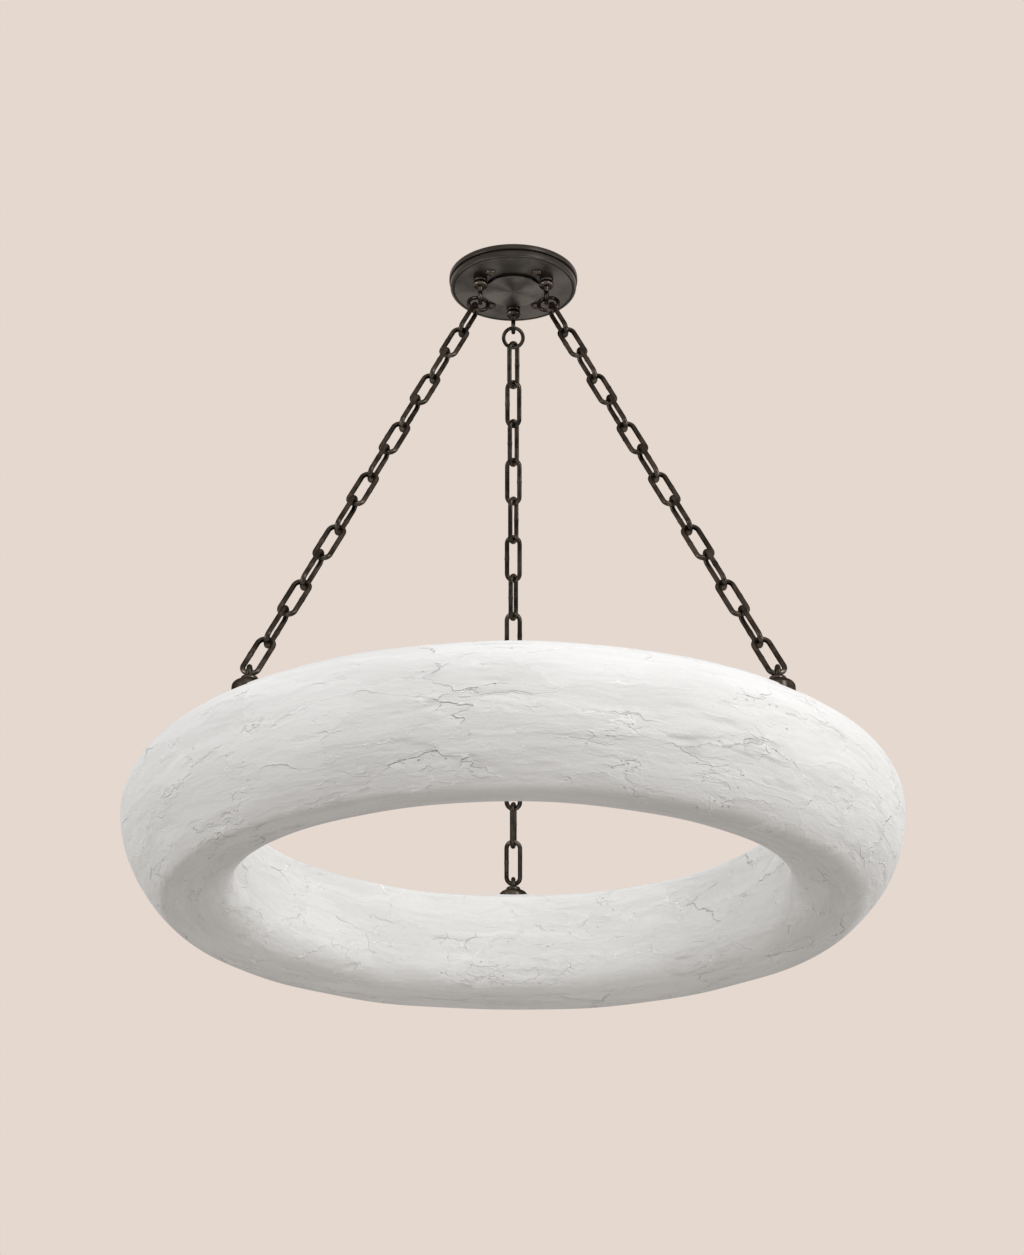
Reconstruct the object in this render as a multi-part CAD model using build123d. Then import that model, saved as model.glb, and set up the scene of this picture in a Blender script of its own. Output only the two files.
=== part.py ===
"""Plaster ring chandelier: a canopy on the ceiling, three chains and a cast ring with lamps in its top.

Millimetres, +Z up. The origin is the middle of the ceiling plane, and the front is towards -Y.
"""
from build123d import *
import math
import os

os.makedirs("parts", exist_ok=True)

# Plaster ring: heights are above the crease where the outer wall meets the underside
ring_diameter = 914.0
ring_width = 135.0
crease_inset = 44.5
crease_round = 4.0
belly_height = 107.0
belly_radius = 128.0
belly_sweep = 14.0
shoulder_radius = 46.5
rim_drop = 26.5
rim_round = 8.0
underside_rise = 8.0
inner_corner_radius = 27.0

# Lamp trough in the ring's top, and the plaster bridges that cross it under the caps
inner_wall_thickness = 18.0
outer_lip_thickness = 33.0
floor_thickness = 12.0
floor_rise = 8.4
floor_inset = 26.0
trough_knee_drop = 87.0
trough_corner_radius = 12.0
bridge_width = 60.0
bridge_depth = 55.0

# Canopy
canopy_diameter = 165.0
canopy_height = 16.5
canopy_wall = 2.0
canopy_groove_depth = 1.6
canopy_groove_width = 1.8
canopy_lip_height = 7.0
canopy_step = 1.6
canopy_edge_round = 1.8
centre_plate_inset = 45.5
centre_plate_height = 4.0
centre_plate_round = 1.0
centre_spigot_diameter = 10.0
mounting_plate_inset = 14.5
mounting_plate_thickness = 3.0
wire_hole_diameter = 14.0
ceiling_hole_spacing = 88.9
ceiling_hole_diameter = 5.2
canopy_screw_inset = 32.5
canopy_screw_angle = 36.0
canopy_screw_diameter = 5.0
canopy_screw_head = 13.0
canopy_screw_head_height = 4.2
canopy_screw_head_round = 3.4
earth_screw_diameter = 4.0
earth_screw_head = 8.0
earth_screw_offset = 24.0

# Turned hanger posts under the canopy, at thirds
post_inset = 33.8
post_drop = 37.0
post_collar_diameter = 17.5
post_collar_height = 4.5
post_collar_round = 1.0
post_bead_diameter = 19.0
post_bead_height = 8.5
post_neck_diameter = 8.0
post_eye_wire = 5.5
post_eye_bore = 8.0
post_thread_diameter = 8.0

# Chains: round hanging ring, then long links
hanging_ring_diameter = 30.0
hanging_ring_wire = 4.8
link_count = 14
link_wire = 6.0
link_inner_length = 50.8
link_width = 24.0
link_play = 0.3
front_twist = 10.0
far_twist = 34.0
end_twist = 8.0
cap_eye_play = 0.7

# Caps and eyes on the ring
cap_inset = 45.5
cap_angle = 44.2
cap_diameter = 38.0
cap_height = 16.5
cap_skirt_height = 9.0
cap_wall = 2.0
cap_seat_depth = 6.5
cap_seat_margin = 1.0
eye_wire = 6.0
eye_bore = 10.0
eye_collar_diameter = 19.0
eye_collar_height = 5.0
eye_collar_round = 2.2
eye_floor_gap = 1.6
stud_diameter = 8.0
stud_end = 3.0
washer_diameter = 17.0
washer_thickness = 2.0
nut_flats = 13.0
nut_height = 6.5

# Lamps
lamp_count = 6
tray_thickness = 1.5
tray_clearance = 1.0
tray_screw_diameter = 4.0
tray_screw_head = 9.0
tray_screw_head_height = 2.5
tray_screw_depth = 7.0
holder_base_diameter = 36.0
holder_base_height = 4.0
holder_diameter = 28.0
holder_height = 30.0
holder_floor = 6.0
bulb_diameter = 45.0
bulb_length = 58.0
bulb_wall = 1.0
bulb_neck_diameter = 12.4
bulb_neck_length = 7.0
bulb_flare_angle = 35.0
bulb_cap_diameter = 13.5
bulb_cap_length = 22.0
bulb_socket_depth = 4.0
bulb_play = 0.3

# Clearance of a screw or stud in its hole, on the radius
hole_clearance = 0.3
thread_clearance = 0.1

# How far a hole's cutting cylinder runs past the faces it opens
cut_over = 1.0

# Canopy values that follow from those
mounting_plate_diameter = canopy_diameter - 2 * mounting_plate_inset
centre_plate_diameter = canopy_diameter - 2 * centre_plate_inset
canopy_screw_radius = canopy_diameter / 2 - canopy_screw_inset
post_radius = canopy_diameter / 2 - post_inset

# Ring values that follow from those
ring_radius = ring_diameter / 2
inner_radius = ring_radius - ring_width
crease_radius = ring_radius - crease_inset
crest_height = belly_height + shoulder_radius
crest_radius = ring_radius - shoulder_radius
rim_height = crest_height - rim_drop
trough_inner_radius = inner_radius + inner_wall_thickness
trough_outer_radius = ring_radius - outer_lip_thickness
trough_floor_height = floor_rise + floor_thickness
trough_knee_height = crest_height - trough_knee_drop
seat_height = crest_height - cap_seat_depth
lamp_radius = (trough_inner_radius + trough_outer_radius - floor_inset) / 2
tray_top = trough_floor_height + tray_thickness

# Eyes: radius of the wire's centre line
post_eye_radius = (post_eye_bore + post_eye_wire) / 2
eye_radius = (eye_bore + eye_wire) / 2
hanging_ring_radius = (hanging_ring_diameter - hanging_ring_wire) / 2
link_end_radius = (link_width - link_wire) / 2
canopy_face = -canopy_height
post_eye_height = canopy_face - post_drop + post_eye_radius + post_eye_wire / 2
eye_centre_rise = link_wire + cap_eye_play + eye_floor_gap - eye_bore / 2
cap_eye_rise = cap_height + eye_collar_height + eye_centre_rise

# Distances along a chain from the hanging ring's top wire to the last link's bottom wire
first_link_start = 2 * hanging_ring_radius - (hanging_ring_wire + link_wire) / 2 - link_play
link_pitch = link_inner_length - link_play
chain_run = first_link_start + (link_count - 1) * link_pitch + link_inner_length + link_wire
post_seat = (post_eye_wire + hanging_ring_wire) / 2 + link_play
cap_seat = (eye_wire + link_wire) / 2 + cap_eye_play


def polar(radius, degrees):
    """Point at a radius, with degrees counted from +X towards +Y."""
    return Vector(radius * math.cos(math.radians(degrees)), radius * math.sin(math.radians(degrees)), 0)


# All eyes face sideways, so a chain meets their wire where its line lies, seen from the side
chain_span = chain_run - post_seat - cap_seat
eye_radii = post_eye_radius + eye_radius

# The two front chains set the drop, and the far chain ends where its own length reaches
front_angle = {"left": 270 - cap_angle, "right": 270 + cap_angle}
post_places = {"left": polar(post_radius, 210), "right": polar(post_radius, 330)}
post_places["far"] = polar(post_radius, 90)
cap_places = {side: polar(ring_radius - cap_inset, angle) for side, angle in front_angle.items()}
front_reach = cap_places["right"] - post_places["right"]
front_span = math.sqrt(chain_span**2 - front_reach.X**2) + eye_radii
chain_drop = math.sqrt(front_span**2 - front_reach.Y**2)
far_reach = math.sqrt((chain_span + eye_radii) ** 2 - chain_drop**2)
cap_places["far"] = Vector(0, post_radius + far_reach, 0)
cap_turn = {**front_angle, "far": 90}
cap_eye_height = post_eye_height - chain_drop
ring_base = cap_eye_height - cap_eye_rise - seat_height


def chain_ends(side):
    """Points on the wires of the post's eye and the cap's eye where a chain pulls."""
    top = post_places[side] + Vector(0, 0, post_eye_height)
    bottom = cap_places[side] + Vector(0, 0, cap_eye_height)
    seen = Vector(0, bottom.Y - top.Y, bottom.Z - top.Z).normalized()
    return top + seen * post_eye_radius, bottom - seen * eye_radius


def cylinder(diameter, bottom, top, place=Vector(0, 0, 0)):
    """Upright cylinder between two heights."""
    axis = Location((place.X, place.Y, bottom))
    return axis * Cylinder(diameter / 2, top - bottom, align=(Align.CENTER, Align.CENTER, Align.MIN))


def turned(section):
    """Solid turned about the Z axis from a flat section of (radius, height) points."""
    return revolve(Plane.XZ * section, Axis.Z)


def outline(*points):
    """Flat face with straight sides through (radius, height) points."""
    return make_face(Polyline(*points, close=True))


def rounded(face, radius, *place):
    """Flat face with its corner nearest a (radius, height) place rounded."""
    corner = min(face.vertices(), key=lambda v: math.dist((v.X, v.Y), place))
    return fillet(corner, radius)


def wire_ring(centre_radius, wire, centre, normal):
    """Closed ring of round wire."""
    return Plane(origin=centre, z_dir=normal) * Torus(centre_radius, wire / 2)


def hex_nut(flats, height, bore, place, bottom):
    """Hexagon nut with a plain bore."""
    outline = RegularPolygon(flats / 2, 6, major_radius=False) - Circle(bore / 2)
    return Location((place.X, place.Y, bottom)) * extrude(outline, height)


def ring_section():
    """Closed section of the casting, before its trough is cut."""
    crease = (crease_radius, 0)
    inner_corner = (inner_radius, underside_rise)
    rim = (inner_radius, rim_height)
    crest = (crest_radius, crest_height)
    belly = (ring_radius, belly_height)
    shoulder = TangentArc(crest, belly, tangent=(1, 0))
    waist = JernArc(belly, (0, -1), belly_radius, -belly_sweep)
    skirt = TangentArc(waist @ 1, crease, tangent=waist % 1)
    sides = Polyline(crease, inner_corner, rim, crest)
    face = make_face([shoulder, waist, skirt, *sides.edges()])
    face = rounded(face, inner_corner_radius, *inner_corner)
    face = rounded(face, rim_round, *rim)
    return rounded(face, crease_round, *crease)


def trough_section():
    """Section of the lamp trough, open at the top."""
    over = crest_height + shoulder_radius
    floor_outer = trough_outer_radius - floor_inset
    face = outline(
        (trough_inner_radius, over),
        (trough_inner_radius, trough_floor_height),
        (floor_outer, trough_floor_height),
        (trough_outer_radius, trough_knee_height),
        (trough_outer_radius, over),
    )
    return rounded(face, trough_corner_radius, trough_inner_radius, trough_floor_height)


def plaster_ring():
    """Casting with a trough in its top, bridges across it, and a flat seat with a hole at each cap."""
    body = turned(ring_section())
    trough = turned(trough_section())
    bridge_bottom = seat_height - bridge_depth
    upwards = (Align.CENTER, Align.CENTER, Align.MIN)
    for side, place in cap_places.items():
        span = Box(2 * ring_width, bridge_width, crest_height, align=upwards)
        trough -= Location((place.X, place.Y, bridge_bottom), (0, 0, cap_turn[side])) * span
    body -= trough
    for place in cap_places.values():
        seat = cap_diameter + 2 * cap_seat_margin
        body -= cylinder(seat, seat_height, crest_height + cap_height, place)
        hole = stud_diameter + 2 * hole_clearance
        body -= cylinder(hole, bridge_bottom - cut_over, seat_height + cut_over, place)
    for place in tray_screw_places():
        hole = tray_screw_diameter + 2 * thread_clearance
        end = trough_floor_height - tray_screw_depth - cut_over
        body -= cylinder(hole, end, trough_floor_height, place)
    return Location((0, 0, ring_base)) * body


def cap():
    """Domed cup with a hole for the eye's stud."""
    outer = cap_diameter / 2
    inner = outer - cap_wall
    top = eye_collar_diameter / 2
    ceiling = cap_height - cap_wall
    bore = stud_diameter / 2 + thread_clearance
    middle = (top, cap_skirt_height)
    outside = EllipticalCenterArc(middle, outer - top, cap_height - cap_skirt_height, arc_size=90)
    inside = EllipticalCenterArc(middle, inner - top, ceiling - cap_skirt_height, arc_size=90)
    hole = Polyline(outside @ 1, (bore, cap_height), (bore, ceiling), inside @ 1)
    skirt = Polyline(inside @ 0, (inner, 0), (outer, 0), outside @ 0)
    return turned(make_face([outside, *hole.edges(), inside, *skirt.edges()]))


def cap_eye():
    """Eye with a collar and a stud that runs down through the cap and the plaster bridge."""
    stud_length = cap_height + bridge_depth + washer_thickness + nut_height + stud_end
    stud = cylinder(stud_diameter, cap_height - stud_length, cap_height)
    collar = cylinder(eye_collar_diameter, cap_height, cap_height + eye_collar_height)
    collar = fillet(collar.edges().group_by(Axis.Z)[-1], eye_collar_round)
    loop = wire_ring(eye_radius, eye_wire, Vector(0, 0, cap_eye_rise), (1, 0, 0))
    root = Plane.XY.offset(cap_height + eye_collar_height / 2)
    return stud + collar + split(loop, root, keep=Keep.TOP)


def canopy_dish():
    """Shallow pan with a lip, a groove and a step round its rim, open at the ceiling."""
    outer = canopy_diameter / 2
    groove_top = -canopy_lip_height
    groove_bottom = groove_top - canopy_groove_width
    step = outer - canopy_step
    groove = step - canopy_groove_depth
    face = outline(
        (0, canopy_face),
        (step, canopy_face),
        (step, groove_bottom),
        (groove, groove_bottom),
        (groove, groove_top),
        (outer, groove_top),
        (outer, 0),
        (groove - canopy_wall, 0),
        (groove - canopy_wall, canopy_face + canopy_wall),
        (0, canopy_face + canopy_wall),
    )
    face = rounded(face, canopy_edge_round, step, canopy_face)
    face = rounded(face, canopy_edge_round, outer, groove_top)
    dish = turned(face)
    bottom = canopy_face - cut_over
    top = canopy_face + canopy_wall + cut_over
    dish -= cylinder(centre_spigot_diameter + 2 * hole_clearance, bottom, top)
    for place in post_places.values():
        dish -= cylinder(post_thread_diameter + 2 * hole_clearance, bottom, top, place)
    for place in canopy_screw_places():
        dish -= cylinder(canopy_screw_diameter + 2 * hole_clearance, bottom, top, place)
    return dish


def centre_plate():
    """Raised round plate with a spigot that closes the canopy's middle hole."""
    plate = cylinder(centre_plate_diameter, canopy_face - centre_plate_height, canopy_face)
    plate = fillet(plate.edges().group_by(Axis.Z)[0], centre_plate_round)
    return plate + cylinder(centre_spigot_diameter, canopy_face, canopy_face + canopy_wall + nut_height)


def mounting_plate():
    """Round plate against the ceiling, with two fixing holes, a wire hole and tapped holes."""
    below = -mounting_plate_thickness - cut_over
    plate = cylinder(mounting_plate_diameter, -mounting_plate_thickness, 0)
    plate -= cylinder(wire_hole_diameter, below, cut_over)
    for side in (-1, 1):
        place = Vector(side * ceiling_hole_spacing / 2, 0, 0)
        plate -= cylinder(ceiling_hole_diameter, below, cut_over, place)
    for place in canopy_screw_places():
        plate -= cylinder(canopy_screw_diameter + 2 * thread_clearance, below, cut_over, place)
    tapped = earth_screw_diameter + 2 * thread_clearance
    return plate - cylinder(tapped, below, cut_over, Vector(0, -earth_screw_offset, 0))


def canopy_screw_places():
    """Four places round the canopy, in front and behind."""
    turns = [middle + side * canopy_screw_angle for middle in (90, 270) for side in (-1, 1)]
    return [polar(canopy_screw_radius, turn) for turn in turns]


def tray_screw_places():
    """Places on the trough's floor, half way between lamps."""
    step = 360 / lamp_count
    return [polar(lamp_radius, step * (index + 0.5)) for index in range(lamp_count)]


def canopy_screw(place):
    """Round-head screw from the canopy's face up into the mounting plate."""
    shank = cylinder(canopy_screw_diameter, canopy_face, 0, place)
    head = cylinder(canopy_screw_head, canopy_face - canopy_screw_head_height, canopy_face, place)
    return shank + fillet(head.edges().group_by(Axis.Z)[0], canopy_screw_head_round)


def earth_screw():
    """Flat-head screw under the mounting plate."""
    place = Vector(0, -earth_screw_offset, 0)
    under = -mounting_plate_thickness
    head = cylinder(earth_screw_head, under - earth_screw_diameter / 2, under, place)
    return head + cylinder(earth_screw_diameter, under, 0, place)


def tray_screw(place):
    """Pan-head screw that holds the lamp tray to the trough's floor."""
    shank = cylinder(tray_screw_diameter, trough_floor_height - tray_screw_depth, tray_top, place)
    head = cylinder(tray_screw_head, tray_top, tray_top + tray_screw_head_height, place)
    return Location((0, 0, ring_base)) * (shank + head)


def hanger_post(place):
    """Turned post with a collar, a bead, a taper and an eye, and a threaded end inside the canopy."""
    collar = post_collar_diameter / 2
    bead = post_bead_diameter / 2
    neck = post_neck_diameter / 2
    bead_top = -post_collar_height
    bead_bottom = bead_top - post_bead_height
    tip = post_eye_wire / 2
    tip_height = post_eye_height - canopy_face + post_eye_radius
    foot = Polyline((0, 0), (collar, 0), (collar, bead_top + post_collar_round), (neck, bead_top))
    ball = ThreePointArc((neck, bead_top), (bead, (bead_top + bead_bottom) / 2), (neck, bead_bottom))
    taper = Polyline((neck, bead_bottom), (tip, tip_height), (0, tip_height), (0, 0))
    post = turned(make_face([*foot.edges(), ball, *taper.edges()]))
    post = Location((place.X, place.Y, canopy_face)) * post
    loop = wire_ring(post_eye_radius, post_eye_wire, place + Vector(0, 0, post_eye_height), (1, 0, 0))
    thread_top = canopy_face + canopy_wall + nut_height
    return post + loop + cylinder(post_thread_diameter, canopy_face, thread_top, place)


def chain_frame(side):
    """Centre of the hanging ring's top wire, and unit vectors along, across and in front of the chain."""
    top, bottom = chain_ends(side)
    line = (bottom - top).normalized()
    across = Vector(-line.Z, 0, line.X).normalized()
    return top - line * post_seat, line, across, across.cross(line)


def hanging_ring(side):
    """Round ring that hangs in the post's eye and faces the front."""
    top, line, across, facing = chain_frame(side)
    return wire_ring(hanging_ring_radius, hanging_ring_wire, top + line * hanging_ring_radius, facing)


def link():
    """One long welded link along its local X axis, lying flat, centred on its own middle."""
    straight = link_inner_length + link_wire - 2 * link_end_radius
    half = straight / 2
    start = Plane(origin=(0, link_end_radius, 0), z_dir=(1, 0, 0))
    side_bar = start.offset(-half) * extrude(Circle(link_wire / 2), straight)
    other_bar = mirror(side_bar, Plane.XZ)
    section = Plane(origin=(half, link_end_radius, 0), z_dir=(1, 0, 0)) * Circle(link_wire / 2)
    bend = revolve(section, Axis((half, 0, 0), (0, 0, -1)), 180)
    return side_bar + other_bar + bend + mirror(bend, Plane.YZ)


def link_turn(side, index):
    """Angle of a link about its chain: quarter turns, plus a twist that runs out downwards."""
    share = index / (link_count - 1)
    top_twist = far_twist if side == "far" else front_twist
    twist = top_twist + (end_twist - top_twist) * share
    quarter = 90 if index % 2 else 0
    return quarter + twist if side == "right" else quarter - twist


def chain(side):
    """Links of one chain, each through the one before."""
    top, line, across, facing = chain_frame(side)
    shape = link()
    links = []
    for index in range(link_count):
        middle = first_link_start + index * link_pitch + (link_inner_length + link_wire) / 2
        turn = math.radians(link_turn(side, index))
        flat = across * math.cos(turn) + facing * math.sin(turn)
        links.append(Plane(origin=top + line * middle, x_dir=line, z_dir=flat) * shape)
    return Compound(children=[item.solid() for item in links])


def lamp_tray():
    """Flat sheet ring on the trough's floor."""
    inner = trough_inner_radius + trough_corner_radius + tray_clearance
    outer = trough_outer_radius - floor_inset - tray_clearance
    tray = extrude(Circle(outer) - Circle(inner), tray_thickness)
    tray = Location((0, 0, trough_floor_height)) * tray
    for place in tray_screw_places():
        hole = tray_screw_diameter + 2 * hole_clearance
        tray -= cylinder(hole, trough_floor_height - cut_over, tray_top + cut_over, place)
    return Location((0, 0, ring_base)) * tray


def lampholder(place):
    """Flanged cup that takes the bulb's screw cap."""
    cup = cylinder(holder_base_diameter, 0, holder_base_height)
    cup += cylinder(holder_diameter, 0, holder_height)
    cup -= cylinder(bulb_cap_diameter + 2 * bulb_play, holder_floor, holder_height + cut_over)
    return Location((place.X, place.Y, ring_base + tray_top)) * cup


def bulb_cap(place):
    """Screw cap with a recess for the glass."""
    bottom = holder_floor + bulb_play
    top = bottom + bulb_cap_length
    cap_body = cylinder(bulb_cap_diameter, bottom, top)
    recess = bulb_neck_diameter + 2 * thread_clearance
    cap_body -= cylinder(recess, top - bulb_socket_depth, top + cut_over)
    return Location((place.X, place.Y, ring_base + tray_top)) * cap_body


def bulb_form(shrink, bottom, top):
    """Turned form of the glass: neck, flare and ball, drawn in by shrink."""
    ball = bulb_diameter / 2 - shrink
    neck = bulb_neck_diameter / 2 - shrink
    centre = top - bulb_diameter / 2
    flare = (neck, bottom + bulb_neck_length)
    low = math.radians(-bulb_flare_angle)
    meet = (ball * math.cos(low), centre + ball * math.sin(low))
    crown = ThreePointArc(meet, (ball, centre), (0, centre + ball))
    sides = Polyline((0, centre + ball), (0, bottom), (neck, bottom), flare, meet)
    return turned(make_face([crown, *sides.edges()]))


def bulb_glass(place):
    """Hollow golf-ball glass, open at its neck."""
    bottom = holder_floor + bulb_play + bulb_cap_length - bulb_socket_depth
    top = bottom + bulb_length
    glass = bulb_form(0, bottom, top) - bulb_form(bulb_wall, bottom, top)
    return Location((place.X, place.Y, ring_base + tray_top)) * glass


def group(shapes):
    """Several separate solids in one node."""
    return Compound(children=[shape.solid() for shape in shapes])


def all_nodes():
    """Every node's name with its shape."""
    under_bridge = ring_base + seat_height - bridge_depth
    eye_nut_bottom = under_bridge - washer_thickness - nut_height
    washer_bore = stud_diameter + 2 * hole_clearance
    nut_bore = stud_diameter + 2 * thread_clearance
    inside = canopy_face + canopy_wall
    post_bore = post_thread_diameter + 2 * thread_clearance
    spigot_bore = centre_spigot_diameter + 2 * thread_clearance
    spigot_nut = nut_flats + centre_spigot_diameter - stud_diameter
    nodes = {
        "canopy_dish": canopy_dish(),
        "centre_plate": centre_plate(),
        "centre_plate_nut": hex_nut(spigot_nut, nut_height, spigot_bore, Vector(0, 0, 0), inside),
        "mounting_plate": mounting_plate(),
        "canopy_screws": group([canopy_screw(place) for place in canopy_screw_places()]),
        "earth_screw": earth_screw(),
        "hanger_nuts": group(
            [hex_nut(nut_flats, nut_height, post_bore, place, inside) for place in post_places.values()]
        ),
        "plaster_ring": plaster_ring(),
        "lamp_tray": lamp_tray(),
        "tray_screws": group([tray_screw(place) for place in tray_screw_places()]),
        "eye_washers": group(
            [
                cylinder(washer_diameter, under_bridge - washer_thickness, under_bridge, place)
                - cylinder(washer_bore, under_bridge - nut_height, under_bridge + cut_over, place)
                for place in cap_places.values()
            ]
        ),
        "eye_nuts": group(
            [hex_nut(nut_flats, nut_height, nut_bore, place, eye_nut_bottom) for place in cap_places.values()]
        ),
    }
    for side, place in cap_places.items():
        seat = Location((place.X, place.Y, ring_base + seat_height))
        nodes[f"hanger_post_{side}"] = hanger_post(post_places[side])
        nodes[f"hanging_ring_{side}"] = hanging_ring(side)
        nodes[f"chain_{side}"] = chain(side)
        nodes[f"cap_{side}"] = seat * cap()
        nodes[f"cap_eye_{side}"] = seat * cap_eye()
    for index in range(lamp_count):
        place = polar(lamp_radius, 360 / lamp_count * index)
        nodes[f"lampholder_{index + 1}"] = lampholder(place)
        nodes[f"bulb_cap_{index + 1}"] = bulb_cap(place)
        nodes[f"bulb_glass_{index + 1}"] = bulb_glass(place)
    return nodes


for node, shape in all_nodes().items():
    export_step(shape, f"parts/{node}.step")
print("chain drop", round(chain_drop, 2), "ring crease at", round(ring_base, 2))
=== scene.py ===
import math
import bpy
import numpy as np
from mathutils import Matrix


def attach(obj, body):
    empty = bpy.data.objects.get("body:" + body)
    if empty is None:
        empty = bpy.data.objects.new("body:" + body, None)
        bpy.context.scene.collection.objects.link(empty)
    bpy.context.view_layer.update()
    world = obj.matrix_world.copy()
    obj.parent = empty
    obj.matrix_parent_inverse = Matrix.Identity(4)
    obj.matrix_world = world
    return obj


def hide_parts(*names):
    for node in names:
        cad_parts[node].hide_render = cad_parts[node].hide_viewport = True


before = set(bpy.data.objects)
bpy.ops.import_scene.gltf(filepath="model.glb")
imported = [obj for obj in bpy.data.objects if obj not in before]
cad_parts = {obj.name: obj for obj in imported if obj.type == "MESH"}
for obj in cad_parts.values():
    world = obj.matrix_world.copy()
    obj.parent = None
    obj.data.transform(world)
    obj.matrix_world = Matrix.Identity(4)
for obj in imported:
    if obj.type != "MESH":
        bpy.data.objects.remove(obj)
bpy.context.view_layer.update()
print("frame loaded,", len(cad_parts), "nodes")

mm = 0.001
sides = ("left", "right", "far")

# where the ring and its three chains hang, in millimetres
hanging = {
    "ringBase": -853.30439,
    "seatHeight": 147.0,
    "canopyFace": -16.5,
    "post": {"left": (-42.1754, -24.35), "right": (42.1754, -24.35), "far": (0.0, 48.7)},
    "cap": {"left": (-286.8834, -295.0087), "right": (286.8834, -295.0087), "far": (0.0, 415.3079)},
    "capTurn": {"left": 225.8, "right": 314.2, "far": 90.0},
    "chainTop": {
        "left": (-40.3248, -24.9846, -45.4947),
        "right": (40.3248, -24.9846, -45.4947),
        "far": (0.0, 49.3481, -45.1269),
    },
    "chainLine": {
        "left": (-0.3395657, -0.3675771, -0.8657842),
        "right": (0.3395657, -0.3675771, -0.8657842),
        "far": (0.0, 0.4985149, -0.8668811),
    },
}


# points on a straight line, ends included
def straight(start, end, count):
    share = np.linspace(0, 1, count)[:, None]
    return np.asarray(start, float) * (1 - share) + np.asarray(end, float) * share


# points on an arc: centre plus radius times cosine and sine of an angle that runs from start to end degrees
def arc(centre, radius, startDeg, endDeg, count):
    a = np.radians(np.linspace(startDeg, endDeg, count))
    return np.column_stack([centre[0] + radius * np.cos(a), centre[1] + radius * np.sin(a)])


# arc that leaves start along a direction and ends short of end: its radius is half the chord over the sine of the
# angle between
def leavingArc(start, along, end, count, short):
    start, end = np.asarray(start, float), np.asarray(end, float)
    along = np.asarray(along, float) / np.linalg.norm(along)
    chord = end - start
    side = along[0] * chord[1] - along[1] * chord[0]
    normal = np.array([-along[1], along[0]]) * np.sign(side)
    radius = chord @ chord / (2 * abs(side))
    centre = start + normal * radius
    first, last = start - centre, end - centre
    a0 = math.atan2(first[1], first[0])
    turn = math.atan2(first[0] * last[1] - first[1] * last[0], first @ last)
    a = a0 + turn * np.linspace(0, 1 - short / (radius * abs(turn)), count)
    return np.column_stack([centre[0] + radius * np.cos(a), centre[1] + radius * np.sin(a)])


# path through corners, each rounded by its own radius: the round touches both runs at radius over tan of half the angle
def roundedPath(corners, radii, steps=5, closed=False):
    pts = np.asarray(corners, float)
    before, after = np.roll(pts, 1, 0) - pts, np.roll(pts, -1, 0) - pts
    out = []
    for i, (p, r) in enumerate(zip(pts, radii)):
        if r <= 0 or (not closed and i in (0, len(pts) - 1)):
            out.append(p[None])
            continue
        a, b = before[i] / np.linalg.norm(before[i]), after[i] / np.linalg.norm(after[i])
        half = math.acos(np.clip(a @ b, -1, 1)) / 2
        reach = r / math.tan(half)
        middle = (a + b) / np.linalg.norm(a + b)
        centre = p + middle * r / math.sin(half)
        v0, v1 = p + a * reach - centre, p + b * reach - centre
        a0 = math.atan2(v0[1], v0[0])
        turn = math.atan2(v0[0] * v1[1] - v0[1] * v1[0], v0 @ v1)
        t = a0 + turn * np.linspace(0, 1, steps)
        out.append(np.column_stack([centre[0] + r * np.cos(t), centre[1] + r * np.sin(t)]))
    return np.concatenate(out)


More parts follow.
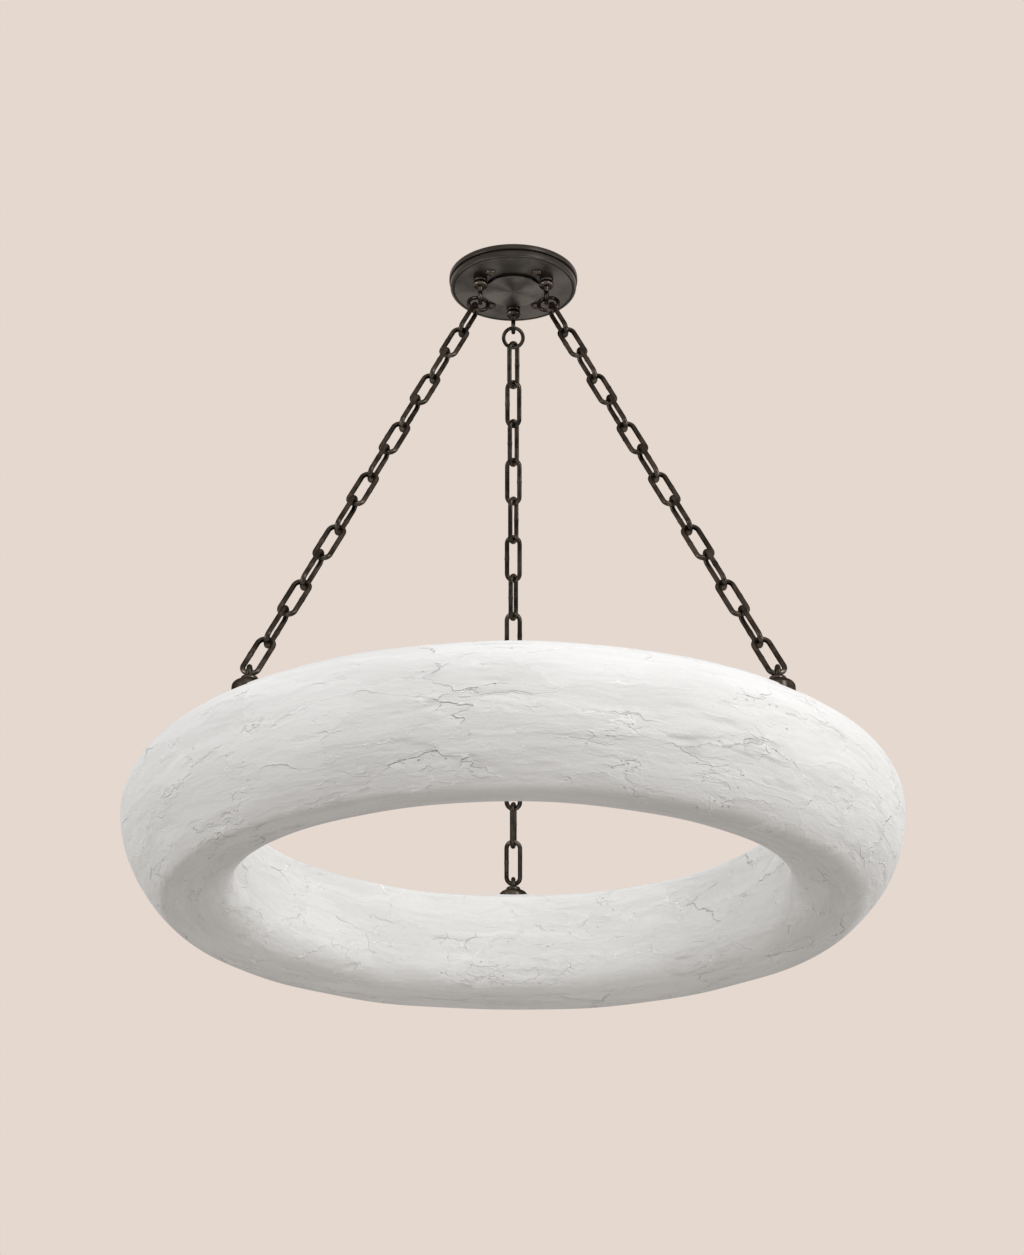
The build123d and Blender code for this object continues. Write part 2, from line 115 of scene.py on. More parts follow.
# collects shells of one piece: vertices, faces and a value per vertex for wear and painted light, with each shell's
# faces turned outwards
class Shells:
    def __init__(self):
        self.points, self.faces, self.wear, self.count = [], [], [], 0

    # grid of rows and columns of points, each four neighbours a face, joined round where the grid is closed
    def grid(self, points, closeRows=False, closeCols=False, startPole=None, endPole=None, wear=None):
        rows, cols = points.shape[:2]
        index = np.arange(rows * cols).reshape(rows, cols)
        if closeRows:
            index = np.vstack([index, index[:1]])
        if closeCols:
            index = np.hstack([index, index[:, :1]])
        around = [index[:-1, :-1], index[:-1, 1:], index[1:, 1:], index[1:, :-1]]
        quads = np.stack(around, -1).reshape(-1, 4)
        verts = points.reshape(-1, 3)
        value = np.zeros(len(verts)) if wear is None else np.asarray(wear).reshape(-1)
        faces = quads.tolist()
        tri = np.concatenate([quads[:, [0, 1, 2]], quads[:, [0, 2, 3]]])
        for pole, row, flip in ((startPole, index[0], True), (endPole, index[-1], False)):
            if pole is None:
                continue
            tip = len(verts)
            verts = np.vstack([verts, np.asarray(pole, float)[None]])
            value = np.append(value, value[row[0]])
            fan = np.stack([row[:-1], row[1:], np.full(len(row) - 1, tip)], -1)
            fan = fan[:, ::-1] if flip else fan
            faces += fan.tolist()
            tri = np.concatenate([tri, fan])
        corner = verts[tri]
        volume = np.einsum("ij,ij->", corner[:, 0], np.cross(corner[:, 1], corner[:, 2]))
        if volume < 0:
            faces = [face[::-1] for face in faces]
        self.faces += [[k + self.count for k in face] for face in faces]
        self.points.append(verts)
        self.wear.append(value)
        self.count += len(verts)
        return self

    # profile of (radius, height) points turned about an upright axis: x and y are radius times cosine and sine
    def turned(self, profile, place, steps, wear=None):
        profile = np.asarray(profile, float)
        wear = np.zeros(len(profile)) if wear is None else wear
        a = np.linspace(0, 2 * np.pi, steps, endpoint=False)
        onAxis = profile[:, 0] < 1e-9
        body = profile[~onAxis]
        r, z = body[:, 0][:, None], body[:, 1][:, None]
        points = np.stack([r * np.cos(a), r * np.sin(a), z + 0 * a], -1) + np.asarray(place, float)
        poles = [np.array([0, 0, profile[k, 1]]) + place if onAxis[k] else None for k in (0, -1)]
        return self.grid(points, not onAxis.any(), True, *poles, np.repeat(wear[~onAxis], steps))

    # round wire along a closed path: centre of the path plus wire radius times the circle of two normals
    def loop(self, path, tangent, upward, radius, around, wear=None):
        side = np.cross(tangent, upward)
        a = np.linspace(0, 2 * np.pi, around, endpoint=False)
        circle = np.cos(a)[None, :, None] * side[:, None] + np.sin(a)[None, :, None] * upward
        points = path[:, None] + np.asarray(radius).reshape(-1, 1, 1) * circle
        return self.grid(points, True, True, wear=wear)

    # the piece itself, in metres, with smooth faces and sharp edges past an angle
    def piece(self, name, body, nodes, slotName, finish, sharpDeg):
        mesh = bpy.data.meshes.new(name)
        mesh.from_pydata(np.concatenate(self.points) * mm, [], self.faces)
        mesh.polygons.foreach_set("use_smooth", np.ones(len(self.faces), bool))
        wear = mesh.attributes.new("wear", "FLOAT", "POINT")
        wear.data.foreach_set("value", np.concatenate(self.wear).astype(np.float32))
        mesh.set_sharp_from_angle(angle=math.radians(sharpDeg))
        mesh.materials.append(finish)
        mesh.update()
        obj = bpy.data.objects.new(name, mesh)
        bpy.context.scene.collection.objects.link(obj)
        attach(obj, body)
        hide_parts(*nodes)
        return obj


# a socket that takes part in sums: each operator adds one Math node
class Wire:
    def __init__(self, finish, socket):
        self.finish, self.socket = finish, socket

    def maths(self, operation, a, b):
        return self.finish.node("ShaderNodeMath", {"operation": operation}, {0: a, 1: b})

    def __add__(self, other):
        return self.maths("ADD", self, other)

    def __radd__(self, other):
        return self.maths("ADD", other, self)

    def __sub__(self, other):
        return self.maths("SUBTRACT", self, other)

    def __rsub__(self, other):
        return self.maths("SUBTRACT", other, self)

    def __mul__(self, other):
        return self.maths("MULTIPLY", self, other)

    def __rmul__(self, other):
        return self.maths("MULTIPLY", other, self)


# one material: node() adds any node, and the named helpers are the few that are used again and again
class Finish:
    def __init__(self, name):
        self.material = bpy.data.materials.new(name)
        self.material.use_nodes = True
        self.tree = self.material.node_tree
        self.shader = self.tree.nodes["Principled BSDF"]

    def node(self, kind, settings=None, inputs=None, out=0):
        made = self.tree.nodes.new(kind)
        for key, value in (settings or {}).items():
            setattr(made, key, value)
        for key, value in (inputs or {}).items():
            if isinstance(value, Wire):
                self.tree.links.new(value.socket, made.inputs[key])
            else:
                made.inputs[key].default_value = value
        if isinstance(out, tuple):
            return [Wire(self, made.outputs[key]) for key in out]
        return Wire(self, made.outputs[out])

    def attribute(self, name, out="Vector"):
        return self.node("ShaderNodeAttribute", {"attribute_name": name}, out=out)

    def place(self):
        return self.node("ShaderNodeTexCoord", out="Object")

    def stretch(self, vector, factors):
        return self.vector("MULTIPLY", vector, factors)

    def noise(self, vector, scale, detail=2.0, rough=0.5):
        values = {"Vector": vector, "Scale": scale, "Detail": detail, "Roughness": rough}
        return self.node("ShaderNodeTexNoise", None, values)

    def ease(self, value, low, high, start=0.0, end=1.0):
        ranges = {"Value": value, "From Min": low, "From Max": high, "To Min": start, "To Max": end}
        return self.node("ShaderNodeMapRange", {"interpolation_type": "SMOOTHSTEP"}, ranges)

    # place moved by a noise of its own, so that a pattern's borders wander: place plus noise colour times reach
    def ragged(self, vector, factors, reach, detail):
        values = {"Vector": self.stretch(vector, factors), "Scale": 1.0, "Detail": detail, "Roughness": 0.6}
        drift = self.node("ShaderNodeTexNoise", None, values, out="Color")
        return self.node("ShaderNodeVectorMath", {"operation": "MULTIPLY_ADD"}, {0: drift, 1: reach, 2: vector})

    def vector(self, operation, a, b, out="Vector"):
        return self.node("ShaderNodeVectorMath", {"operation": operation}, {0: a, 1: b}, out=out)

    def mix(self, factor, a, b):
        return self.node("ShaderNodeMix", {"data_type": "RGBA"}, {0: factor, 6: a, 7: b}, out=2)

    def part(self, vector, name):
        return self.node("ShaderNodeSeparateXYZ", None, {0: vector}, out=name)

    def bump(self, height):
        return self.node("ShaderNodeBump", None, {"Height": height, "Distance": 1.0, "Strength": 1.0})

    def use(self, **inputs):
        for key, value in inputs.items():
            name = key.replace("_", " ")
            if isinstance(value, Wire):
                self.tree.links.new(value.socket, self.shader.inputs[name])
            else:
                self.shader.inputs[name].default_value = value
        return self.material


plasterLook = {
    "pale": (0.83, 0.825, 0.81),
    "worn": (0.74, 0.732, 0.716),
    # the next colour is a painted highlight on the plates' edges, and the one after it a painted shade in the pits
    "lip": (0.97, 0.967, 0.955),
    "pitShade": (0.50, 0.485, 0.46),
    "bends": (
        ((11.0, 11.0, 26.0), (0.075, 0.075, 0.034), 4.0),
        ((70.0, 70.0, 150.0), (0.011, 0.011, 0.006), 3.0),
    ),
    "large": {
        "cells": (7.2, 7.2, 19.0), "step": 0.0011, "tilt": 0.0050, "lip": 0.0006, "rim": 0.022,
        "maskCells": (12.0, 12.0, 30.0), "maskScale": 1.0, "maskDetail": 2.0, "mask": (0.47, 0.66, 0.08, 1.0),
    },
    "small": {
        "cells": (16.0, 16.0, 42.0), "step": 0.0007, "tilt": 0.0021, "lip": 0.0004, "rim": 0.040,
        "maskCells": (9.0, 9.0, 25.0), "maskScale": 1.7, "maskDetail": 3.0, "mask": (0.55, 0.67, 0.0, 1.0),
    },
    "plateSmoothness": 0.035,
    "patchCells": (16.0, 16.0, 44.0),
    "crumbCells": (34.0, 34.0, 95.0),
    "crumbSmoothness": 0.12,
    "pitCells": (120.0, 120.0, 150.0),
    "strokeCells": (11.0, 11.0, 210.0),
    "broadCells": (4.5, 4.5, 34.0),
    # cells of the noise that picks where the plates' edges get the painted highlight
    "paintedHighlightCells": (22.0, 22.0, 50.0),
    "grainScale": 420.0,
    "crumbStep": 0.0015,
    "pitDepth": 0.0010,
    "strokeDepth": 0.00058,
    "broadDepth": 0.0021,
    "grainDepth": 0.00030,
}


# plates of one size: cells of a stretched pattern, each with a level and a tilt of its own and a lip round its edge,
# shown where a slow noise lets them out
def trowelPlates(f, flow, bent, size):
    mask = f.noise(f.stretch(flow, size["maskCells"]), size["maskScale"], size["maskDetail"])
    shown = f.ease(mask, *size["mask"])
    cells = f.stretch(bent, size["cells"])
    pattern = {"Vector": cells, "Scale": 1.0, "Smoothness": plasterLook["plateSmoothness"]}
    tone, middle = f.node("ShaderNodeTexVoronoi", {"feature": "SMOOTH_F1"}, pattern, out=("Color", "Position"))
    edge = f.node("ShaderNodeTexVoronoi", {"feature": "DISTANCE_TO_EDGE"}, {"Vector": cells, "Scale": 1.0})
    own = f.vector("SUBTRACT", tone, (0.5, 0.5, 0.5))
    lean = f.vector("DOT_PRODUCT", f.vector("SUBTRACT", cells, middle), own, out="Value")
    level = f.part(own, "X")
    lip = f.ease(edge, 0.0, size["rim"], 1.0, 0.0) * shown
    height = (level * size["step"] + lean * size["tilt"]) * shown + lip * size["lip"]
    return height, lip, edge, level, shown


# trowelled plaster: large and small plates, crumbs and pits along their edges, and fine strokes
def plasterFinish():
    f = Finish("cast_plaster")
    look = plasterLook
    flow = f.attribute("flow")
    bent = flow
    for cells, reach, detail in look["bends"]:
        bent = f.ragged(bent, cells, reach, detail)
    large, largeLip, largeEdge, largeLevel, _ = trowelPlates(f, flow, bent, look["large"])
    small, smallLip, _, smallLevel, smallShown = trowelPlates(f, flow, bent, look["small"])

    # crumbs: small cells at heights of their own, in patches along the plates' edges
    beside = f.ease(largeEdge, 0.02, 0.24, 1.0, 0.0)
    patch = f.ease(f.noise(f.stretch(flow, look["patchCells"]), 1.0, 3.0), 0.47, 0.62) * beside
    field = {"Vector": f.stretch(bent, look["crumbCells"]), "Scale": 1.0, "Smoothness": look["crumbSmoothness"]}
    crumbTone = f.node("ShaderNodeTexVoronoi", {"feature": "SMOOTH_F1"}, field, out="Color")
    crumb = (f.part(crumbTone, "Y") - 0.5) * patch

    # pits: among the crumbs, some cells of a fine pattern hold a small round hole
    holes = {"Vector": f.stretch(flow, look["pitCells"]), "Scale": 1.0}
    away, holeTone = f.node("ShaderNodeTexVoronoi", None, holes, out=("Distance", "Color"))
    chosen = f.ease(f.part(holeTone, "X") * (0.4 + patch), 0.62, 0.80)
    pit = f.ease(away, 0.05, 0.24, 1.0, 0.0) * chosen

    stroke = f.noise(f.stretch(bent, look["strokeCells"]), 1.0, 3.0, 0.62)
    broad = f.noise(f.stretch(bent, look["broadCells"]), 1.0, 3.0, 0.55)
    grain = f.noise(flow, look["grainScale"], 2.0, 0.6)
    height = large + small + crumb * look["crumbStep"] - pit * look["pitDepth"]
    height = height + stroke * look["strokeDepth"] + broad * look["broadDepth"] + grain * look["grainDepth"]

    # tone: plates differ a little, and along some runs their edges are painted near white, a painted highlight
    plates = largeLevel * 0.10 + smallLevel * smallShown * 0.06
    mottle = f.ease(broad * 0.6 + stroke * 0.4 + plates, 0.34, 0.66)
    # mask of the runs where the plates' edges get the painted highlight
    rubbedAndHighlight = f.ease(f.noise(f.stretch(flow, look["paintedHighlightCells"]), 1.0, 1.0), 0.40, 0.54)
    colour = f.mix(mottle, (*look["worn"], 1), (*look["pale"], 1))
    # painted highlight: the lips turned near white along those runs
    colour = f.mix((largeLip + smallLip) * rubbedAndHighlight * 0.85, colour, (*look["lip"], 1))
    # painted shade: the pits darkened towards grey
    colour = f.mix(pit * 0.4, colour, (*look["pitShade"], 1))
    rough = 0.80 + stroke * 0.16
    return f.use(Base_Color=colour, Roughness=rough, Normal=f.bump(height), Specular_IOR_Level=0.28)


bronzeLook = {
    "dark": (0.031, 0.0275, 0.024), "brown": (0.084, 0.0725, 0.061), "rubbedAndHighlight": (0.19, 0.162, 0.133),
    "tint": (0.34, 0.31, 0.28), "grain": 0.00003, "dents": 0.0001,
}


# dark bronze: clouds of brown over near black, lighter where the piece's own value says so, from rubbed wear and
# painted highlight
def bronzeFinish():
    f = Finish("dark_bronze")
    place = f.place()
    cloud = f.noise(place, 55.0, 4.0, 0.6)
    fine = f.noise(place, 900.0, 2.0, 0.6)
    tone = f.mix(f.ease(cloud, 0.35, 0.68), (*bronzeLook["dark"], 1), (*bronzeLook["brown"], 1))
    # lighter tone: rubbed wear, and on the posts' collars and beads and on the screw heads also a painted highlight
    rubbedAndHighlight = f.attribute("wear", out="Fac") * f.ease(cloud + (fine - 0.5) * 0.5, 0.30, 0.62)
    tone = f.mix(rubbedAndHighlight, tone, (*bronzeLook["rubbedAndHighlight"], 1))
    rough = 0.17 + cloud * 0.16 + fine * 0.05
    height = fine * bronzeLook["grain"] + cloud * bronzeLook["dents"]
    tint = (*bronzeLook["tint"], 1)
    return f.use(Base_Color=tone, Roughness=rough, Metallic=0.92, Specular_Tint=tint, Normal=f.bump(height))


# dark and light: the two ends of the painted reflection's fan; rim: the painted shade on rims, grooves and side walls
turnedLook = {
    "dark": (0.10, 0.091, 0.083), "light": (0.29, 0.265, 0.243), "rim": (0.05, 0.045, 0.04),
    "lines": 900.0, "lineDepth": 0.00007, "fan": 1.15,
}


# turned sheet: fine circles, a noise of the distance from the axis, and a fan of light and dark, a noise of the
# direction, which is a painted reflection; where the value is low the dark rim colour, a painted shade, shows
def turnedFinish():
    f = Finish("turned_bronze")
    place = f.place()
    flat = f.stretch(place, (1.0, 1.0, 0.0))
    origin = (0.0, 0.0, 0.0)
    reach = f.vector("LENGTH", flat, origin, out="Value")
    circles = {"W": reach, "Scale": turnedLook["lines"], "Detail": 2.0}
    lines = f.node("ShaderNodeTexNoise", {"noise_dimensions": "1D"}, circles)
    fan = f.noise(f.vector("NORMALIZE", flat, origin), turnedLook["fan"], 0.0)
    cloud = f.noise(place, 38.0, 4.0, 0.6)
    # painted reflection: the fan of light and dark, mixed with a random cloud of tone
    share = f.ease(fan * 0.55 + cloud * 0.45, 0.34, 0.64)
    tone = f.mix(share, (*turnedLook["dark"], 1), (*turnedLook["light"], 1))
    # painted shade: where the value is low, the dark rim colour
    tone = f.mix(f.attribute("wear", out="Fac"), (*turnedLook["rim"], 1), tone)
    rough = 0.30 + cloud * 0.14
    return f.use(Base_Color=tone, Roughness=rough, Metallic=1.0, Normal=f.bump(lines * turnedLook["lineDepth"]))


zincLook = {"bright": (0.60, 0.60, 0.585), "dull": (0.43, 0.43, 0.425)}


# zinc-plated steel: spangles, the cells of a pattern, each with a tone of its own
def zincFinish():
    f = Finish("zinc_steel")
    place = f.place()
    spangle = f.node("ShaderNodeTexVoronoi", None, {"Vector": place, "Scale": 160.0}, out="Color")
    cloud = f.noise(place, 40.0, 3.0)
    share = f.ease(f.part(spangle, "X") * 0.5 + cloud * 0.5, 0.2, 0.8)
    tone = f.mix(share, (*zincLook["dull"], 1), (*zincLook["bright"], 1))
    rough = 0.34 + cloud * 0.2
    return f.use(Base_Color=tone, Roughness=rough, Metallic=1.0, Normal=f.bump(cloud * 0.0001))


brassLook = {"dull": (0.52, 0.38, 0.17), "bright": (0.68, 0.53, 0.27)}


def brassFinish():
    f = Finish("bulb_brass")
    cloud = f.noise(f.place(), 120.0, 3.0)
    tone = f.mix(f.ease(cloud, 0.3, 0.7), (*brassLook["dull"], 1), (*brassLook["bright"], 1))
    return f.use(Base_Color=tone, Roughness=0.24 + cloud * 0.18, Metallic=1.0, Normal=f.bump(cloud * 0.00006))


porcelainLook = {"cream": (0.80, 0.785, 0.75), "white": (0.87, 0.86, 0.83)}


def porcelainFinish():
    f = Finish("porcelain")
    cloud = f.noise(f.place(), 90.0, 3.0)
    tone = f.mix(f.ease(cloud, 0.3, 0.75), (*porcelainLook["cream"], 1), (*porcelainLook["white"], 1))
    return f.use(Base_Color=tone, Roughness=0.16 + cloud * 0.10, Coat_Weight=0.4, Normal=f.bump(cloud * 0.00008))


frostedLook = {"shade": (0.90, 0.89, 0.86), "light": (0.96, 0.955, 0.935), "through": 0.45, "bending": 1.45}


def frostedFinish():
    f = Finish("frosted_glass")
    frost = f.noise(f.place(), 700.0, 2.0)
    look = frostedLook
    tone = f.mix(frost, (*look["shade"], 1), (*look["light"], 1))
    f.use(Transmission_Weight=look["through"], IOR=look["bending"])
    return f.use(Base_Color=tone, Roughness=0.34 + frost * 0.14, Normal=f.bump(frost * 0.00006))


plaster, bronze, turned, zinc = plasterFinish(), bronzeFinish(), turnedFinish(), zincFinish()
brass, porcelain, frosted = brassFinish(), porcelainFinish(), frostedFinish()
print("finishes made")


# cast plaster ring, heights above the ring's base, in millimetres
castRing = {
    "radius": 457.0,
    "inner": 322.0,
    "crisp": {"radius": 405.0, "height": -3.5, "round": 6.0},
    "soft": {"radius": 398.0, "height": -7.0, "round": 13.0, "turnDeg": -8.0},
    "bellyHeight": 104.0,
    "bellyRadius": 128.0,
    "bellySweep": 14.0,
    "shoulder": 52.0,
    "rimHeight": 125.0,
    "crestHeight": 156.0,
    "underside": 8.0,
    "innerCorner": 36.0,
    "troughInner": 340.0,
    "troughOuter": 424.0,
    "floorHeight": 20.4,
    "floorOuter": 398.0,
    "kneeHeight": 66.5,
    "lipRound": 3.0,
    "rimRound": 8.0,
    "floorRound": 12.0,
    "columns": 584,
    "blend": (-0.35, 0.95),
    "seed": 11,
    "swell": 0.5,
    "swellSize": 0.13,
    "swellWaves": 36,
    "swellStretch": (0.7, 0.7, 1.0),
    "calmAbove": 15.0,
    "seatRadius": 20.0,
    "seatSpare": 1.5,
    "seatSink": 0.3,
    "seatAbove": 100.0,
    "flowRadius": 0.42,
}


# height of the ring's top over a radius: the sloping top up to the crest, then the shoulder's arc
def ringTop(radius):
    c = castRing
    crest = c["radius"] - c["shoulder"]
    slope = c["rimHeight"] + (radius - c["inner"]) * (c["crestHeight"] - c["rimHeight"]) / (crest - c["inner"])
    over = np.clip(c["shoulder"] ** 2 - (radius - crest) ** 2, 0, None)
    return np.where(radius < crest, slope, c["bellyHeight"] + np.sqrt(over))


# closed section from the trough's floor up the outer wall, over the lip, round the outside and back down the inner wall
def ringProfile(crease):
    c = castRing
    belly = (c["radius"], c["bellyHeight"])
    crest = (c["radius"] - c["shoulder"], c["bellyHeight"])
    lip = (c["troughOuter"], float(ringTop(np.array(c["troughOuter"]))))
    lipDeg = math.degrees(math.atan2(lip[1] - crest[1], lip[0] - crest[0]))
    lipRun = math.degrees(c["lipRound"] / c["shoulder"])
    middle = ((c["floorOuter"] + c["troughInner"]) / 2, c["floorHeight"])
    innerLip = (c["troughInner"], float(ringTop(np.array(c["troughInner"]))))
    waist = arc((belly[0] - c["bellyRadius"], belly[1]), c["bellyRadius"], 0, -c["bellySweep"], 9)
    sweep = math.radians(c["bellySweep"])
    edge = np.array([crease["radius"], crease["height"]])
    skirt = leavingArc(waist[-1], (-math.sin(sweep), -math.cos(sweep)), edge, 26, crease["round"])

    # the crease is a curve pulled towards the edge point: start, edge and end weighed by (1-t) squared, 2t(1-t) and
    # t squared
    under = np.array([c["inner"], c["underside"]]) - edge
    under = under / np.linalg.norm(under)
    foot = edge + under * crease["round"]
    t = np.linspace(0, 1, 7)[:, None]
    bend = skirt[-1] * (1 - t) ** 2 + 2 * edge * t * (1 - t) + foot * t**2
    wall = [(c["inner"], c["underside"]), (c["inner"], c["rimHeight"])]
    trough = [innerLip, (c["troughInner"], c["floorHeight"])]
    rounds = [0, c["innerCorner"], c["rimRound"], c["lipRound"], c["floorRound"], 0]
    corner = roundedPath([tuple(edge), *wall, *trough, middle], rounds, 9)
    runs = [
        straight(middle, (c["floorOuter"], c["floorHeight"]), 4)[:-1],
        straight((c["floorOuter"], c["floorHeight"]), (c["troughOuter"], c["kneeHeight"]), 6)[:-1],
        straight((c["troughOuter"], c["kneeHeight"]), (lip[0], lip[1] - c["lipRound"]), 9)[:-1],
        arc((lip[0] + c["lipRound"], lip[1] - c["lipRound"]), c["lipRound"], 180, 90 - lipRun, 4),
        arc(crest, c["shoulder"], lipDeg - 2 * lipRun, 0, 17)[:-1],
        waist[:-1],
        skirt[:-1],
        bend,
        straight(foot, corner[1], 21)[1:-1],
        corner[1:10],
        straight(corner[9], corner[10], 26)[1:-1],
        corner[10:19],
        straight(corner[18], corner[19], 6)[1:-1],
        corner[19:28],
        straight(corner[27], corner[28], 12)[1:-1],
        corner[28:37],
        straight(corner[36], middle, 4)[1:-1],
    ]
    return np.concatenate(runs)


# smooth random field: a sum of cosines whose directions, lengths and phases come from a seed
def waveField(points, size, count, dice):
    way = dice.normal(size=(3, count))
    way *= dice.uniform(0.55, 1.45, count) * 2 * np.pi / size / np.linalg.norm(way, axis=0)
    return np.cos(points @ way + dice.uniform(0, 2 * np.pi, count)).sum(1) * math.sqrt(2 / count)


def easeBetween(value, low, high):
    t = np.clip((value - low) / (high - low), 0, 1)
    return t * t * (3 - 2 * t)


# place on the plaster as it was drawn out: a circle of the ring's mean radius, and the run across the section
def flowField(turn, run):
    radius = castRing["flowRadius"]
    return np.stack([radius * np.cos(turn), radius * np.sin(turn), run], -1).reshape(-1, 3)


def addField(mesh, name, values):
    field = mesh.attributes.new(name, "FLOAT_VECTOR", "POINT")
    field.data.foreach_set("vector", np.asarray(values, np.float32).ravel())


# the casting: section times turn, its crease crisp on one side and soft on the other, moved along its normal by slow
# swells, and cut flat where the caps sit
def makeCastRing():
    c = castRing
    dice = np.random.default_rng(c["seed"])
    section, softer = ringProfile(c["crisp"]), ringProfile(c["soft"])
    a = np.linspace(0, 2 * np.pi, c["columns"], endpoint=False)
    share = easeBetween(np.cos(a - math.radians(c["soft"]["turnDeg"])), *c["blend"])
    r = section[:, :1] * (1 - share) + softer[:, :1] * share
    z = section[:, 1:] * (1 - share) + softer[:, 1:] * share
    points = np.stack([r * np.cos(a), r * np.sin(a), z], -1)
    along = np.roll(section, -1, 0) - np.roll(section, 1, 0)
    along /= np.linalg.norm(along, axis=1)[:, None]
    out, up = along[:, 1][:, None], -along[:, 0][:, None]
    if (out[:, 0] * (section[:, 0] - (c["inner"] + c["radius"]) / 2)).sum() < 0:
        out, up = -out, -up
    normal = np.stack([out * np.cos(a), out * np.sin(a), up + 0 * a], -1)
    step = np.linalg.norm(np.diff(section, axis=0), axis=1)
    run = np.concatenate([[0], np.cumsum(step)])
    flow = flowField(a + 0 * r, (run * mm)[:, None] + 0 * a)
    swell = waveField(flow * np.array(c["swellStretch"]), c["swellSize"], c["swellWaves"], dice)
    between = (section[:, 0] > c["troughInner"] - 1) & (section[:, 0] < c["troughOuter"] + 1)
    inTrough = between & (section[:, 1] > c["calmAbove"])
    calm = np.where(inTrough, 0.0, 1.0)
    calm = np.convolve(np.pad(calm, 2, mode="wrap"), np.ones(5) / 5, "valid")
    height = c["swell"] * swell * np.repeat(calm, c["columns"])
    verts = points.reshape(-1, 3) + normal.reshape(-1, 3) * height[:, None]
    for side in sides:
        x, y = hanging["cap"][side]
        near = np.hypot(verts[:, 0] - x, verts[:, 1] - y)
        level = np.where(near < c["seatRadius"] + c["seatSpare"], hanging["seatHeight"] - c["seatSink"], np.inf)
        verts[:, 2] = np.where(verts[:, 2] > c["seatAbove"], np.minimum(verts[:, 2], level), verts[:, 2])
    verts[:, 2] += hanging["ringBase"]
    shell = Shells().grid(verts.reshape(*points.shape), True, True)
    obj = shell.piece("plaster_casting", "ring", ["plaster_ring"], "plaster", plaster, 60)
    addField(obj.data, "flow", flow)
    print("plaster casting,", len(obj.data.polygons), "faces")


bridge = {
    "width": 60.0, "depth": 55.0, "corner": 6.0, "cornerPower": 14, "cornerDrop": 0.45, "from": 334.0, "to": 428.0,
    "stations": 30, "flatPoints": 22, "sidePoints": 8, "sink": 0.25, "seatSink": 0.1, "flowStart": 1.2,
}


# bridge across the trough: an oblong of width and depth carried from wall to wall, its top on the ring's own top and
# rounded down at its edges by a high power of the distance across
def makeBridge(side):
    b = bridge
    bottom = hanging["seatHeight"] - b["depth"]
    half = b["width"] / 2
    wide = np.linspace(-half, half, b["flatPoints"])
    upright = np.full(b["sidePoints"], half)
    across = np.concatenate([wide, upright, np.linspace(half, -half, b["flatPoints"]), -upright])
    rise = [np.linspace(low, high, b["sidePoints"] + 2)[1:-1] for low, high in ((1, 0), (0, 1))]
    lift = np.concatenate([np.ones(b["flatPoints"]), rise[0], np.zeros(b["flatPoints"]), rise[1]])
    pull = b["corner"] * (np.abs(across) / half) ** b["cornerPower"]
    rad = np.linspace(b["from"], b["to"], b["stations"])[:, None]
    turn = math.radians(hanging["capTurn"][side])
    ux, uy = math.cos(turn), math.sin(turn)
    roof = ringTop(np.hypot(rad, across)) - b["sink"]
    high = roof - np.where(lift == 1, pull * b["cornerDrop"], 0)
    x = rad * ux - across * uy
    y = rad * uy + across * ux
    cx, cy = hanging["cap"][side]
    near = np.hypot(x - cx, y - cy)
    high = np.minimum(high, np.where(near < castRing["seatRadius"], hanging["seatHeight"] - b["seatSink"], np.inf))
    z = bottom + (high - bottom) * lift
    points = np.stack([x, y, z + hanging["ringBase"]], -1)
    shell = Shells().grid(points, False, True, points[0].mean(0), points[-1].mean(0))
    obj = shell.piece(f"plaster_bridge_{side}", "ring", ["plaster_ring"], "plaster", plaster, 50)
    verts = shell.points[0]
    run = b["flowStart"] + (np.hypot(verts[:, 0], verts[:, 1]) + verts[:, 2] - hanging["ringBase"]) * mm
    addField(obj.data, "flow", flowField(np.arctan2(verts[:, 1], verts[:, 0]), run))


makeCastRing()
for side in sides:
    makeBridge(side)
print("bridges made")


# a chain's top point, its direction, the level way across it and the way it faces
def chainFrame(side):
    top, line = np.array(hanging["chainTop"][side]), np.array(hanging["chainLine"][side])
    line = line / np.linalg.norm(line)
    across = np.array([-line[2], 0, line[0]])
    across /= np.linalg.norm(across)
    return top, line, across, np.cross(across, line)


chainLink = {
    "wire": 6.0, "inner": 50.8, "width": 24.0, "count": 14, "first": 19.5, "pitch": 50.5, "around": 14, "rubAndHighlight": 0.8,
    "weld": 0.11, "weldLength": 2.2, "weldPoints": (-3.2, -1.6, 0.0, 1.6, 3.2),
    "frontTwist": 10.0, "farTwist": 34.0, "endTwist": 8.0,
}


